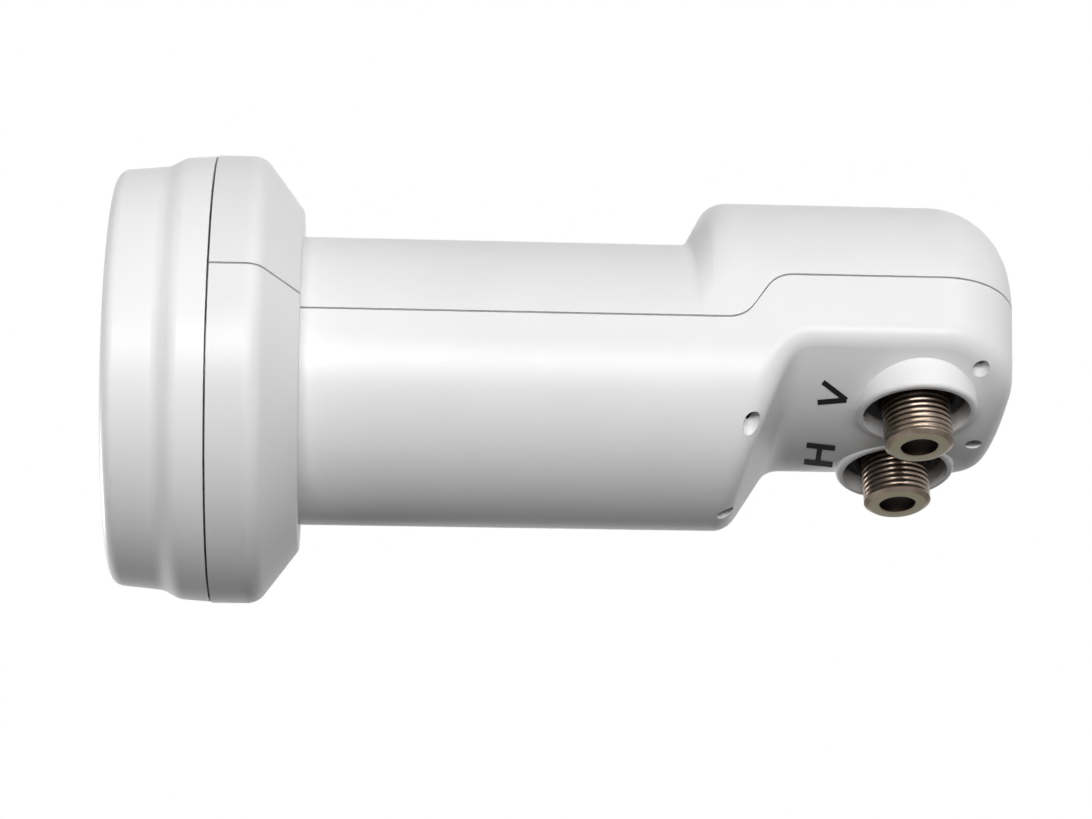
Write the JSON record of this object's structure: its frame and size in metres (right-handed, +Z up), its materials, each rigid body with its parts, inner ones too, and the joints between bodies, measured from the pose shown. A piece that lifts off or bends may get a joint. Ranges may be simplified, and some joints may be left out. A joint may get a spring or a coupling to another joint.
{
  "type": "satellite low-noise block converter",
  "caption": "Straight satellite LNB with a round capped feed horn, a cylindrical clamp neck and a raised head whose underside carries threaded coaxial ports.",
  "frame": {"origin": "on the horn axis at the middle of the 40 mm neck, where a dish arm clamps the unit", "axes": "+X along the horn axis from the horn towards the head, +Z up, away from the ports, which point down"},
  "size_m": [0.1249, 0.0618, 0.062],
  "materials": {
    "shell_white": "satin",
    "cap_white": "smooth",
    "casting_metal": "cast",
    "lid_metal": "sheet",
    "board_green": "lacquered",
    "matt_black": "matt",
    "puck_ceramic": "matt",
    "seal_rubber": "matt",
    "screw_steel": "plain",
    "tuner_brass": "turned",
    "probe_metal": "plated",
    "insulator_white": "matt",
    "port_plating": "passivated",
    "port_insulator_dark": "matt",
    "contact_metal": "plated"
  },
  "bodies": {
    "root": {"upper_shell": "shell_white", "lower_shell": "shell_white", "front_cap": "cap_white", "cap_seal": "seal_rubber", "feed_casting": "casting_metal", "main_board": "board_green", "board_chips": "matt_black", "resonator_pucks": "puck_ceramic", "lid_gasket": "seal_rubber", "chamber_lid": "lid_metal", "lid_screws": "screw_steel", "tuning_screws": "tuner_brass", "probe_v": "probe_metal", "probe_h": "probe_metal", "probe_v_sleeve": "insulator_white", "probe_h_sleeve": "insulator_white", "isolation_pin": "probe_metal", "port_v_body": "port_plating", "port_v_insulator": "port_insulator_dark", "port_v_contact": "contact_metal", "port_v_seal": "seal_rubber", "port_h_body": "port_plating", "port_h_insulator": "port_insulator_dark", "port_h_contact": "contact_metal", "port_h_seal": "seal_rubber"}
  },
  "joints": []
}
